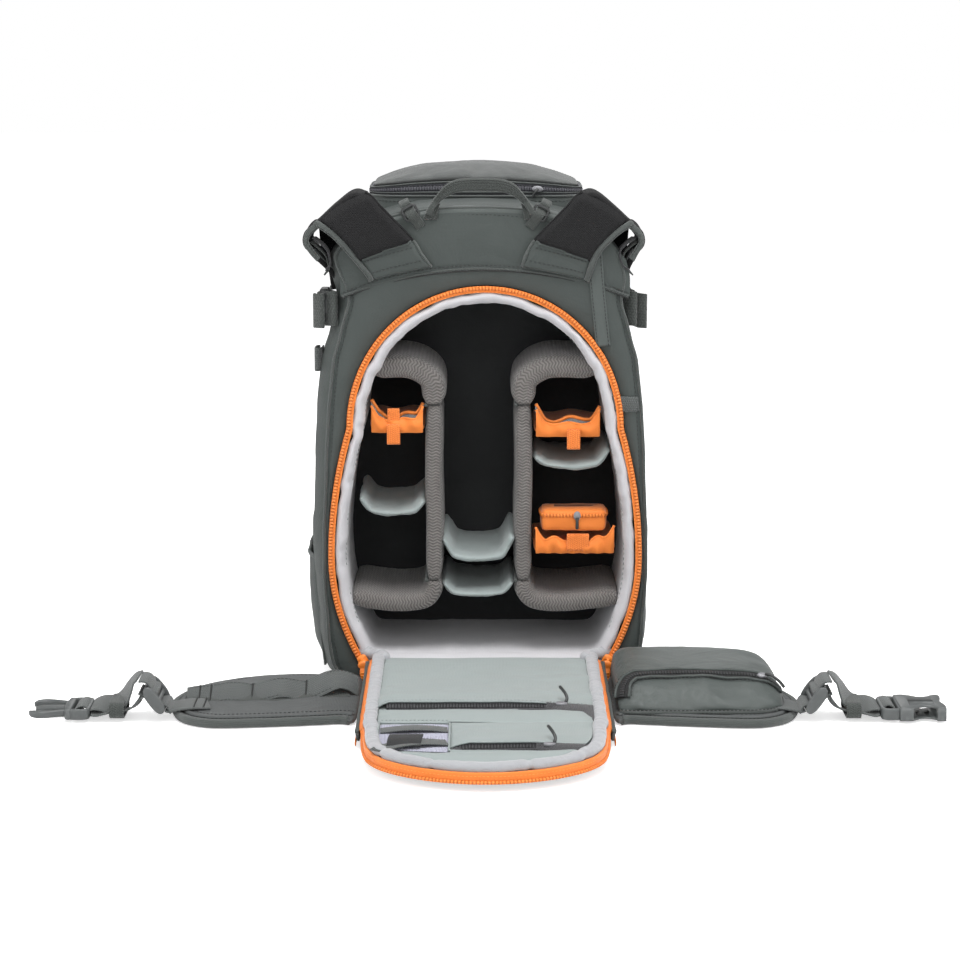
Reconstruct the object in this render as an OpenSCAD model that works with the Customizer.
// Camera backpack, laid down in its loading position: the body stands on its
// base, the whole harness-side panel is unzipped and folded out onto the floor,
// the hip belt lies open to both sides and the padded bays show their dividers.
// +Z up, +X to the right seen from the harness side, harness side faces -Y.
// Origin: on the floor, centred under the body. Millimetres.

/* [Body] */
// Greatest half width of the body
body_half = 160; // [158:0.5:161]
// Half width of the body where the shoulders begin
shoulder_half = 148; // [146:0.5:149]
// Height where the shoulders begin to close in
shoulder_z = 380; // [378:0.5:382]
// Height of the top deck at its centre
deck_z = 471; // [470:0.5:472]
// Half width of the body where the bottom corners begin
foot_half = 152; // [150:0.5:153]
// Radius of the bottom corners
foot_r = 22; // [18:1:24]
// Thickness of the shell wall
wall = 4; // [3:0.5:4]
// Front edge of the shell
shell_front = -100; // [-100:0.5:-99.5]
// Far face of the shell
shell_back = 70; // [69:0.5:70]
// Far face of the front pocket
pocket_back = 118; // [110:1:122]

/* [Opening] */
// Top of the zip line
open_top = 394; // [392:0.5:395]
// Height where the arch of the opening begins
arch_z = 255; // [252:1:258]
// Half width of the opening where the arch begins
arch_half = 135; // [134:0.5:136]
// Height of the widest point of the opening
belly_z = 125; // [122:1:128]
// Half width of the opening at its widest point
belly_half = 154; // [153.5:0.5:154.5]
// Half width of the zip line at its lowest point
sill_half = 121; // [120:0.5:122]
// Lowest point of the zip line
sill_z = 14; // [14:0.5:15]
// Width of the zip tape round the opening
tape_w = 7; // [6:0.5:7]
// Thickness of the padded box wall
box_wall = 11; // [9:0.5:11]
// Front edge of the padded box
box_front = -99.5; // [-99.5:0.5:-99]
// Far face of the padded box
box_back = 62; // [60:0.5:63]

/* [Panel] */
// Angle between the closed and the opened panel
open_angle = 91.5; // [91:0.1:91.5]
// Y of the panel hinge
hinge_y = -118; // [-118:0.1:-117.8]
// Panel hinge height
hinge_z = 16; // [15.9:0.1:16]
// Plane of the inner face of the closed panel
panel_y = -106.5; // [-106.5:0.1:-106.4]
// Half width of the stiff part of the panel
panel_half = 112; // [111:0.5:112]
// Distance of the fold lines from the centre
fold_x = 118; // [117.8:0.1:118]
// Greatest width of the folding zip strips
strip_w = 22.5; // [20:0.5:22.5]
// Thickness of the folding zip strips
strip_t = 5; // [4:0.5:5]
// Thickness of the padding behind the panel at the lumbar end
lumbar_t = 12; // [10:0.5:12]
// Thickness of the padding behind the panel at the shoulder end
backpad_t = 6; // [5:0.5:6]

/* [Bays] */
// Left divider, outer face of the upright
div_left_outer = -59; // [-60:0.5:-58]
// Left divider, inner face of the upright
div_left_inner = -42; // [-43:0.5:-41]
// Right divider, inner face of the upright
div_right_inner = 28; // [27:0.5:29]
// Right divider, outer face of the upright
div_right_outer = 48; // [47:0.5:49]
// Top of the dividers
div_top = 328; // [326:0.5:329]
// Underside of the dividers
div_foot = 64; // [63:0.5:65]
// Thickness of the folded divider ends
div_t = 25; // [23:0.5:26]
// Front face of the dividers
bay_front = -93; // [-93:0.5:-92]
// Far end of the dividers and shelves
bay_back = 46; // [42:1:48]
// Base heights of the left shelves, top down
left_shelves = [244, 167]; // [160:1:250]
// Base heights of the right shelves, top down
right_shelves = [246, 214, 134]; // [130:1:250]
// Base heights of the centre shelves, top down
centre_shelves = [120, 82]; // [80:1:125]

/* [Lid] */
// Half width of the lid
lid_half = 110; // [108:1:111]
// Front edge of the lid
lid_front = -34; // [-35:0.5:-33]
// Far edge of the lid
lid_back = 96; // [94:0.5:96]
// Height of the lid seam
lid_z = 477.5; // [477:0.5:478]
// Crown of the lid
lid_top_z = 503; // [500:1:505]

/* [Harness] */
// Thickness of the shoulder straps
strap_pad_t = 10; // [9:0.5:10]
// Thickness of the spacer mesh on the straps
mesh_t = 3; // [2.5:0.5:3]
// Height of the carry handle arch
handle_h = 40; // [38:1:42]
// Half width of the carry handle
handle_half = 61; // [59:0.5:61]

/* [Belt] */
// Distance of the belt wing hinge lines from the centre
wing_hinge_x = 124; // [124:0.1:124.2]
// Thickness of the belt wings
wing_t = 8; // [7:0.5:8]
// Centre line of the belt webbing
belt_y = -245; // [-246:1:-244]
// Width of the belt webbing
web_w = 38; // [36:1:39]
// Thickness of the belt webbing
web_t = 2.4; // [2:0.1:2.4]

/* [Hidden] */
$fn = 32;
gap = 0.5; // clearance between neighbouring pieces
C_SHELL = [0.29, 0.32, 0.31];
C_PALE = [0.78, 0.79, 0.79];
C_MINT = [0.70, 0.75, 0.73];
C_ORANGE = [0.93, 0.44, 0.08];
C_DARK = [0.08, 0.08, 0.09];
C_WEB = [0.36, 0.38, 0.37];
C_DIV = [0.40, 0.39, 0.38];

// ---- outlines, as [x, z] points -----------------------------------------
// Throughout, side is +1 for right (+X) and -1 for left (-X).
widest_z = 100; // height where the body is widest
shoulder_power = 0.769; // squareness of the shoulder curve

function rev(pts) = [for (i = [len(pts) - 1:-1:0]) pts[i]];
function to_side(side, pts) = [for (p = pts) [side * p[0], p[1]]];
// closes a right-hand edge through a top centre point with its mirror image
function symmetric(edge, top) = concat(edge, [[0, top]], to_side(-1, rev(edge)));

// half width of the opening at height z
function open_half(z) =
  z >= arch_z ? arch_half * sqrt(max(0, 1 - pow((z - arch_z) / (open_top - arch_z), 2)))
  : z >= belly_z
    ? belly_half - (belly_half - arch_half) * pow((z - belly_z) / (arch_z - belly_z), 2)
  : belly_half - (belly_half - sill_half) * pow((belly_z - z) / (belly_z - sill_z), 2);
function arch_point(grow, a) =
  [(arch_half + grow) * cos(a), arch_z + (open_top - arch_z + grow) * sin(a)];
// opening enlarged by grow, cut level at base_z
function open_edge(grow, base_z) = concat(
  [for (i = [0:12]) let (z = base_z + (arch_z - base_z) * i / 12) [open_half(z) + grow, z]],
  [for (i = [1:11]) arch_point(grow, 90 * i / 12)]);
function open_outline(grow, base_z) = symmetric(open_edge(grow, base_z), open_top + grow);

function body_half_at(z) = z >= widest_z
  ? body_half
    - (body_half - shoulder_half) * pow((z - widest_z) / (shoulder_z - widest_z), 2)
  : body_half - (body_half - foot_half) * pow((widest_z - z) / (widest_z - foot_r), 2);
function body_edge(grow) = concat(
  [for (i = [0:5]) let (a = -90 + 90 * i / 6)
    [foot_half - foot_r + (foot_r + grow) * cos(a), foot_r + (foot_r + grow) * sin(a)]],
  [for (i = [0:12]) let (z = foot_r + (shoulder_z - foot_r) * i / 12)
    [body_half_at(z) + grow, z]],
  [for (i = [1:11]) let (a = 90 * i / 12)
    [(shoulder_half + grow) * pow(cos(a), shoulder_power),
      shoulder_z + (deck_z - shoulder_z + grow) * pow(sin(a), shoulder_power)]]);
function body_outline(grow) = symmetric(body_edge(grow), deck_z + grow);

// rounded rectangle in plan, centred on x = 0, corner by corner
function plan_round(half, y0, y1, r) = [for (k = [0:3]) for (a = [90 * k:18:90 * k + 90])
  [(k == 0 || k == 3 ? half - r : r - half) + r * cos(a),
    (k < 2 ? y1 - r : y0 + r) + r * sin(a)]];

// ribbon of thickness t along an open polyline
function unit(v) = v / norm(v);
function tangent(pts, i) = let (last = len(pts) - 1) unit(
  unit(pts[min(i + 1, last)] - pts[i == last ? i - 1 : i])
  + unit(pts[i == 0 ? 1 : i] - pts[i == 0 ? 0 : i - 1]));
function side_of(pts, t) =
  [for (i = [0:len(pts) - 1]) let (v = tangent(pts, i)) pts[i] + t * [-v[1], v[0]]];
function ribbon(pts, t) = concat(side_of(pts, t / 2), rev(side_of(pts, -t / 2)));

// ---- building blocks ----------------------------------------------------
// plate whose outline lies in the XZ plane, from y0 to y1
module plate(pts, y0, y1) {
  translate([0, y1, 0]) rotate([90, 0, 0]) linear_extrude(height = y1 - y0) polygon(pts);
}
// upright prism over an [x, y] outline
module prism(pts, z0, h) { translate([0, 0, z0]) linear_extrude(height = h) polygon(pts); }
// box between two opposite corners
module block(a, b) { translate(a) cube(b - a); }
// mirrors a right-hand piece to the left when side is -1
module on_side(side) { if (side < 0) mirror([1, 0, 0]) children(); else children(); }

// ---- body ---------------------------------------------------------------
harness_front = shell_front - 5; // front face of the harness panel
face_back = harness_front - gap; // far face of the pieces laid on it
lid_base_z = 445; // underside of the band below the lid
yoke_half = 170; // half width of the cutter below the yoke
// outline of a side pocket: [x, z]
side_pocket_pts = [
  [body_half + 1, 14], [body_half + 5, 16], [body_half + 10, 50],
  [body_half + 11, 80], [body_half + 6, 116], [body_half + 1, 120]];

// hollow shell, closed at the far face, with an opening in the top deck
module outer_shell() { color(C_SHELL) difference() {
    plate(body_outline(0), shell_front, shell_back);
    plate(body_outline(-wall), shell_front - 1, shell_back - wall);
    block([-92, -18, deck_z - 60], [92, shell_back - wall - 8, deck_z + 1]);
  } }
module harness_panel() { color(C_SHELL) difference() {
    plate(body_outline(-gap), harness_front, shell_front - gap);
    plate(open_outline(gap - tape_w, sill_z + 4), harness_front - 1, shell_front + 1);
  } }
// upper part of the harness face, with an arched lower edge
module yoke_panel() { color(C_SHELL) difference() {
    plate(body_outline(-2), shell_front - 11.5, face_back);
    plate(concat(
        [for (x = [-yoke_half:17:yoke_half]) [x, 412 - 29 * pow(x / 145, 2)]],
        [[yoke_half, -10], [-yoke_half, -10]]), shell_front - 12, harness_front);
  } }
module zip_frame() { color(C_ORANGE) difference() {
    plate(open_outline(1, sill_z - 1), shell_front - 9.5, face_back);
    plate(open_outline(1 - tape_w, sill_z - 10), shell_front - 10, harness_front);
  } }
module front_pocket() { color(C_SHELL) hull() {
    plate([for (p = body_outline(-12)) [p[0], min(p[1], 420)]],
      shell_back + gap, shell_back + 20);
    plate([for (p = body_outline(-34)) [p[0], max(30, min(p[1], 396))]],
      shell_back + 21, pocket_back);
  } }
module side_pocket(side) { color(C_SHELL) plate(to_side(side, side_pocket_pts), -72, 52); }
// ring under the lid, trimmed to sit on the body and clear of the front pocket
module lid_base_band() { color(C_SHELL) difference() {
    prism(plan_round(lid_half, lid_front, lid_back + 2, 30),
      lid_base_z, lid_z - gap - lid_base_z);
    prism(plan_round(lid_half - 6, lid_front + 6, lid_back - 4, 24), lid_base_z - 5, 50);
    plate(body_outline(gap), shell_front - 1, shell_back + gap);
    block([-200, shell_back + gap, 400], [200, pocket_back + 5, 450]);
  } }

// ---- body fittings ------------------------------------------------------
lifter_x = 69.5; // centre of a load lifter buckle
strap_back = -112.5; // far face of the shoulder straps and carry handle
handle_foot_z = 458;
handle_bar = 11; // width of the handle seen from the front
handle_power = 0.6; // squareness of the handle arch

// two ladder buckles with two slots each
module load_lifters() { color(C_WEB) for (side = [-1, 1]) let (x = side * lifter_x)
    difference() {
      block([x - 6.5, -118, 455], [x + 6.5, -112, 468]);
      for (z = [457.5, 463]) block([x - 4.5, -119, z], [x + 4.5, -111, z + 2.5]);
    } }
// on each flank a housing open towards +Y, and a flat strap
module compression_straps() { color(C_WEB) for (side = [-1, 1]) on_side(side) union() {
      difference() {
        block([body_half + 1, -98, 350], [body_half + 12, -66, 380]);
        block([body_half + 3.5, -88, 353], [body_half + 9.5, -65, 377]);
      }
      block([body_half + 1, -66, 356], [body_half + 3, 60, 374]);
    } }
// tongue inside the housing, grip body, strap tail
module compression_male(side) { color(C_WEB) on_side(side) union() {
    block([body_half + 4, -86, 356], [body_half + 9, -64, 374]);
    block([body_half + 3.7, -64.5, 352], [body_half + 11.5, -44, 378]);
    block([body_half + 5, -44.5, 357], [body_half + 7.4, -10, 373]);
  } }
// one tab on the left flank, one on the right of the harness panel
module side_tabs() { color(C_WEB) {
    block([-body_half - 8, -86, 309], [-body_half - 1, -62, 331]);
    block([138, -108.5, 271], [151, -105.5, 285]);
  } }
function handle_arc(inset) = [for (a = [0:10:180])
  [(handle_half - inset) * (cos(a) < 0 ? -1 : 1) * pow(abs(cos(a)), handle_power),
    handle_foot_z + (handle_h - inset) * pow(sin(a), handle_power)]];
module carry_handle() { color(C_SHELL)
  plate(concat(handle_arc(0), rev(handle_arc(handle_bar))), -119, strap_back); }

// ---- lid ----------------------------------------------------------------
lid_tape_h = 12; // height of the lid zip tape

module lid_zip_tape() { color(C_DARK) difference() {
    prism(plan_round(lid_half - 1, lid_front + 1, lid_back, 30), lid_z, lid_tape_h);
    prism(plan_round(lid_half - 5, lid_front + 5, lid_back - 4, 26),
      lid_z - 1, lid_tape_h + 2);
  } }
module lid_top() { color(C_SHELL) hull() {
    prism(plan_round(lid_half - 2, lid_front + 2, lid_back - 1, 30),
      lid_z + lid_tape_h + gap, 3);
    prism(plan_round(lid_half - 34, lid_front + 26, lid_back - 22, 30), lid_top_z - 3, 3);
  } }
// slider body and the pull hanging in front of it
module lid_zip_slider() { color(C_WEB) union() {
    block([58, lid_front - 3.5, lid_z + 2.5], [70, lid_front + gap, lid_z + 9.5]);
    block([60, lid_front - 6, lid_z - 3], [68, lid_front - 3, lid_z + 9]);
  } }

// ---- main zip, sliders parked at its low ends ---------------------------
slider_x = 119.5;
slider_z = 20;
slider_tilt = 29.4; // leans the slider along the zip line

module zip_slider(side) { color(C_ORANGE) on_side(side)
  translate([slider_x, 0, slider_z]) rotate([0, slider_tilt, 0]) union() {
    block([-4, -114.5, -8], [4, -110, 8]);
    block([-2, -116.3, -2], [2, -114, 4]);
  } }
module zip_pull(side) { color(C_ORANGE) on_side(side)
  translate([slider_x, -118, slider_z]) union() {
    block([-4, -1.2, -16], [4, 1.2, 3]);
    translate([0, 1.2, -3]) rotate([90, 0, 0]) cylinder(r = 5, h = 2.4);
  } }

// ---- bays ---------------------------------------------------------------
box_inset = 5; // box outer face inside the opening outline
bay_play = 2; // space between the box wall and the bay pieces
shelf_t = 7; // thickness of the plain shelves
// outline of the accessory pouch: [x, z]
accessory_pts = [
  [div_right_outer + 6, 151], [div_right_outer + 8, 149.5], [119, 149.5], [121, 152],
  [121, 168], [118, 171], [div_right_outer + 9, 171], [div_right_outer + 6, 168]];

module camera_box() { color(C_PALE) difference() {
    plate(open_outline(-box_inset, sill_z + 2), box_front, box_back);
    plate(open_outline(-box_inset - box_wall, sill_z + 14), box_front - 1, box_back - 10);
  } }
// half width available inside the box at height z
function box_in(z) = z >= arch_z
  ? (arch_half - box_inset - box_wall)
    * sqrt(1 - pow((z - arch_z) / (open_top - box_inset - box_wall - arch_z), 2)) - bay_play
  : open_half(z) - box_inset - bay_play - box_wall;

// upright with both ends folded outwards to the box wall;
// inner and outer are distances from the centre
module divider(side, inner, outer) { plate(to_side(side, [
    [inner, div_foot + 6], [inner, div_top - 10], [inner + 8, div_top],
    [box_in(div_top) - 2, div_top], [box_in(div_top - div_t) - 6, div_top - div_t + 3],
    [outer + 4, div_top - div_t], [outer, div_top - div_t - 6],
    [outer, div_foot + div_t + 6], [outer + 5, div_foot + div_t],
    [box_in(div_foot) - 2, div_foot + div_t - 2], [box_in(div_foot) - 1, div_foot],
    [inner + 6, div_foot]]), bay_front, bay_back); }
module divider_left() { color(C_DIV) divider(-1, -div_left_inner, -div_left_outer); }
module divider_right() { color(C_DIV) divider(1, div_right_inner, div_right_outer); }

// board of thickness t; lip is the drop of its front edge, 0 for none
module shelf(x0, x1, z, t, lip) { union() {
    block([x0, bay_front, z], [x1, bay_back, z + t]);
    if (lip > 0) block([x0, bay_front, z - lip], [x1, bay_front + 3, z + gap]);
  } }
// side shelves reach the box wall as measured at the height z + fit;
// rise lifts the board above z
module shelf_left(z, fit, rise = 0, t = shelf_t, lip = 0) {
  shelf(-box_in(z + fit), div_left_outer - gap, z + rise, t, lip);
}
module shelf_right(z, fit, rise = 0, t = shelf_t, lip = 0) {
  shelf(div_right_outer + gap, box_in(z + fit), z + rise, t, lip);
}
module shelf_centre(z) { shelf(div_left_inner + gap, div_right_inner - gap, z, shelf_t, 0); }
module pouch_left_upper() { color(C_ORANGE)
  shelf_left(left_shelves[0], fit = 26, rise = 4, t = 12, lip = 12); }
module shelf_left_lower() { color(C_MINT) shelf_left(left_shelves[1], fit = 17); }
module pouch_right_upper() { color(C_ORANGE)
  shelf_right(right_shelves[0], fit = 22, rise = 2, t = 11, lip = 12); }
module shelf_right_middle() { color(C_MINT) shelf_right(right_shelves[1], fit = 15); }
module pouch_right_lower() { color(C_ORANGE)
  shelf_right(right_shelves[2], fit = 18, t = 11, lip = 8); }
module accessory_pouch() { color(C_ORANGE) plate(accessory_pts, bay_front + 1, -48); }
module shelf_centre_upper() { color(C_MINT) shelf_centre(centre_shelves[0]); }
module shelf_centre_lower() { color(C_MINT) shelf_centre(centre_shelves[1]); }

// ---- shoulder straps, right-hand outlines as [x, z] ---------------------
strap_pts = [[107, 400], [43, 414.5], [60, 437], [106, 486], [122, 487], [165, 457], [118, 417]];
strap_mesh_pts = [[118, 419], [61, 438], [106, 484], [121, 485], [162, 457]];
// centre line of the band that runs over the shoulder and down the flank
strap_band_line = [
  [112, 479], [124, 480], [158, 456], [170, 447],
  [172, 436], [163, 424], [159, 406], [157, 386]];
strap_front = strap_back - strap_pad_t;

module strap_pad(side) { color(C_SHELL) on_side(side) union() {
    plate(strap_pts, strap_front, strap_back);
    plate(ribbon(strap_band_line, 7), -114, -46);
  } }
module strap_mesh(side) { color(C_DARK) on_side(side)
  plate(strap_mesh_pts, strap_front - gap - mesh_t, strap_front - gap); }

// ---- opened panel, drawn closed -----------------------------------------
// Layers are placed from the inner face, panel_y: + towards the body, which
// is the upper side once opened; - is the harness side, underneath.
panel_t = 8; // thickness of the stiff panel
sheet_back = -panel_t - gap; // inner face of the frame sheet
sheet_t = 1.5;
pad_back = sheet_back - sheet_t - gap; // inner face of the back pads
strip_z0 = 36; // low end of the folding zip strips
strip_len = 262;
fold_turn = 88; // turn of the strips about their fold lines
// pocket outlines: [x, z] on the closed panel
flap_upper_pts = [[-104, 50], [104, 50], [104, 233], [69, 210], [-104, 210]];
flap_lower_pts = [
  [-30, 250], [104, 250], [104, 300], [98, 333], [80, 351], [56, 333], [-30, 333]];
label_pts = [[-93, 261], [-34, 261], [-34, 330], [-86, 350], [-93, 340]];

// swings a piece about the hinge into its opened place
module opened() {
  translate([0, hinge_y, hinge_z]) rotate([open_angle, 0, 0])
    translate([0, -hinge_y, -hinge_z]) children();
}
// turns a zip strip about its fold line
module folded(side) {
  translate([side * fold_x, panel_y, 0]) rotate([0, 0, -side * fold_turn])
    translate([-side * fold_x, -panel_y, 0]) children();
}
// opening-shaped layer, limited to a half width, between offsets v0 and v1
module panel_layer(grow, half, base_z, v0, v1) { intersection() {
    plate(open_outline(grow, base_z), panel_y + v0, panel_y + v1);
    block([-half, -200, 0], [half, 0, 500]);
  } }
// flat pocket on the lining
module panel_patch(pts) { opened() plate(pts, panel_y + 3.2, panel_y + 5); }

module flap_lining() { color(C_MINT) opened() panel_layer(-9, fold_x - gap, 21, gap, 3); }
module flap_panel() { color(C_PALE) opened() panel_layer(-15, panel_half, 21, -panel_t, 0); }
// arc along the arch, from 30 to 150 degrees
function zip_arc(grow) = [for (i = [0:20]) arch_point(grow, 30 + 120 * i / 20)];
module flap_zip_edge() { color(C_ORANGE) opened()
  plate(concat(zip_arc(-8), rev(zip_arc(-14.5))), panel_y - 9, panel_y); }
module frame_sheet() { color(C_DARK) opened()
  panel_layer(-18, panel_half - 3, 24, sheet_back - sheet_t, sheet_back); }
// thin pad with a central groove, thicker at the lumbar end
module back_pads() { color(C_DARK) opened() difference() {
    union() {
      panel_layer(-24, panel_half - 4, 26, pad_back - backpad_t, pad_back);
      block([-panel_half + 4, panel_y + pad_back - lumbar_t, 26],
        [panel_half - 4, panel_y + pad_back, 130]);
    }
    block([-12, -200, 140], [12, panel_y + pad_back - 2, 400]);
  } }
// strip from the fold line out to the zip, limited to strip_w
strip_heights = [for (i = [0:16]) strip_z0 + strip_len * i / 16];
module flap_edge(side) { color(C_ORANGE) opened() folded(side) on_side(side)
  plate(concat(
      [for (z = strip_heights) [fold_x + gap + 0.2, z]],
      rev([for (z = strip_heights)
        [min(fold_x + strip_w, max(fold_x + gap + 1, open_half(z) - 8)), z]])),
    panel_y - strip_t, panel_y); }
module flap_pocket_upper() { color(C_MINT) panel_patch(flap_upper_pts); }
module flap_pocket_lower() { color(C_MINT) panel_patch(flap_lower_pts); }
module label_pocket() { color(C_WEB) panel_patch(label_pts); }
module flap_slider(x, z) { color(C_DARK) opened() union() {
    block([x - 6, panel_y + 5.3, z - 4], [x + 6, panel_y + 8, z + 4]);
    block([x + 5, panel_y + 5.3, z - 22], [x + 9, panel_y + 7.3, z + 2]);
  } }

// ---- belt ---------------------------------------------------------------
wing_z = 1; // underside of the wings
wing_top = wing_z + wing_t;
on_wing_z = wing_top + gap; // underside of the pieces lying on a wing
wing_root = wing_hinge_x + 12;
web_near = belt_y - web_w / 2;
web_far = belt_y + web_w / 2;
buckle_x = 371; // end of each buckle half on the webbing side
daisy_y = -219.5; // centre line of the strip of loops
daisy_w = 25;
// plan of the right wing: [x, y]
wing_plan = [
  [wing_root, -122], [160, -115], [188, -113], [216, -118], [244, -130], [268, -148],
  [284, -170], [294, -196], [296, -215], [293, -240], [284, -266], [270, -281],
  [250, -288], [210, -284], [168, -278], [wing_root, -272]];
// belt pocket, profile as [y, z] and plan as [x, y]
belt_pocket_profile = [
  [-118, on_wing_z], [-118, 38], [-126, 45], [-146, 47],
  [-190, 36], [-240, 24], [-266, 15], [-272, on_wing_z]];
belt_pocket_plan = [
  [160, -117], [170, -116], [188, -116], [216, -121], [242, -133], [262, -151],
  [276, -172], [282, -200], [282, -236], [274, -262], [250, -274], [160, -270]];
// webbing centre line: [x, z]
web_line = [[327.5, 37.5], [332, 33], [339, 22], [350, 13], [366, 9.5]];
// prong plan: [x from its root, distance from the belt centre line]
prong_pts = [
  [0, 13], [0, 19], [14, 22], [24, 24], [28, 23], [34, 16], [34, 13.5], [26, 15], [12, 14]];

module wing(side) { on_side(side) prism(wing_plan, wing_z, wing_t); }
module belt_wing_left() { color(C_SHELL) wing(-1); }
module belt_wing_right() { color(C_SHELL) wing(1); }
// flat strip with five raised half-round loops
module belt_daisy_left() { color(C_WEB) union() {
    block([-268, daisy_y - daisy_w / 2, on_wing_z], [-146, daisy_y + daisy_w / 2, 11.5]);
    for (i = [0:4]) translate([-256 + 24 * i, daisy_y, 11]) intersection() {
        rotate([90, 0, 0]) cylinder(r = 9, h = daisy_w, center = true);
        block([-9, -13, 0], [9, 13, 4]);
      }
  } }
module belt_pocket_right() { color(C_SHELL) intersection() {
    translate([163, 0, 0]) rotate([90, 0, 90]) linear_extrude(height = 120)
      polygon(belt_pocket_profile);
    prism(belt_pocket_plan, 5, 60);
  } }
// three-slot buckle leaning up from the wing tip
module belt_adjuster(side) { color(C_WEB) on_side(side)
  translate([299, belt_y, wing_top]) rotate([0, -50, 0]) difference() {
    block([2, -web_w / 2 - 4, -2], [36, web_w / 2 + 4, 2]);
    for (slot = [[7, 13], [17, 21], [25, 31]])
      block([slot[0], -web_w / 2, -3], [slot[1], web_w / 2, 3]);
  } }
// webbing with a rectangular keeper loop round it
module belt_webbing(side) { color(C_WEB) on_side(side) union() {
    plate(ribbon(web_line, web_t), web_near, web_far);
    difference() {
      block([341, web_near - 3, 6], [347, web_far + 3, 22]);
      block([340, web_near, 9], [348, web_far, 19.5]);
    }
  } }
// cutter for the two webbing slots of a buckle half
module web_slots(z0, z1) {
  for (x = [buckle_x + 4, buckle_x + 12]) block([x, web_near, z0], [x + 4, web_far, z1]);
}
// slotted bar and centre guide, on the left
module buckle_male() { color(C_WEB) on_side(-1) union() {
    difference() {
      block([buckle_x, belt_y - 24, 3], [buckle_x + 21, belt_y + 24, 14]);
      web_slots(2, 15);
    }
    block([391, belt_y - 4.5, 5], [424, belt_y + 4.5, 12]);
  } }
// side prong of the male half; across is -1 near (-Y), +1 far (+Y)
module buckle_prong(across) { color(C_WEB) on_side(-1)
  translate([392.6, belt_y, 5]) linear_extrude(height = 7)
    polygon([for (p = prong_pts) [p[0], across * p[1]]]); }
// slotted housing, hollow from its outer end, with windows in both edges
module buckle_female() { color(C_WEB) difference() {
    block([buckle_x, belt_y - 26, 2], [buckle_x + 60, belt_y + 26, 16]);
    block([391, belt_y - 20, 5], [432, belt_y + 20, 13]);
    block([404, belt_y - 30, 4.5], [420, belt_y + 30, 13.5]);
    web_slots(1, 17);
  } }

outer_shell();
harness_panel();
yoke_panel();
zip_frame();
camera_box();
divider_left();
divider_right();
front_pocket();
side_pocket(-1);  // side_pocket_left
side_pocket(1);  // side_pocket_right
lid_base_band();
load_lifters();
compression_straps();
side_tabs();
compression_male(-1);  // compression_male_left
compression_male(1);  // compression_male_right
carry_handle();
lid_top();
lid_zip_tape();
lid_zip_slider();
zip_slider(-1);  // zip_slider_left
zip_slider(1);  // zip_slider_right
zip_pull(-1);  // zip_pull_left
zip_pull(1);  // zip_pull_right
pouch_left_upper();
shelf_left_lower();
pouch_right_upper();
shelf_right_middle();
pouch_right_lower();
accessory_pouch();
shelf_centre_upper();
shelf_centre_lower();
strap_pad(-1);  // strap_pad_left
strap_pad(1);  // strap_pad_right
strap_mesh(-1);  // strap_mesh_left
strap_mesh(1);  // strap_mesh_right
flap_panel();
flap_lining();
flap_zip_edge();
frame_sheet();
back_pads();
flap_edge(-1);  // flap_edge_left
flap_edge(1);  // flap_edge_right
flap_pocket_upper();
flap_pocket_lower();
label_pocket();
flap_slider(70, 204);  // flap_slider_upper
flap_slider(56, 329);  // flap_slider_lower
belt_wing_left();
belt_wing_right();
belt_daisy_left();
belt_pocket_right();
belt_adjuster(-1);  // belt_adjuster_left
belt_adjuster(1);  // belt_adjuster_right
belt_webbing(-1);  // belt_webbing_left
belt_webbing(1);  // belt_webbing_right
buckle_male();
buckle_female();
buckle_prong(-1);  // buckle_prong_near
buckle_prong(1);  // buckle_prong_far
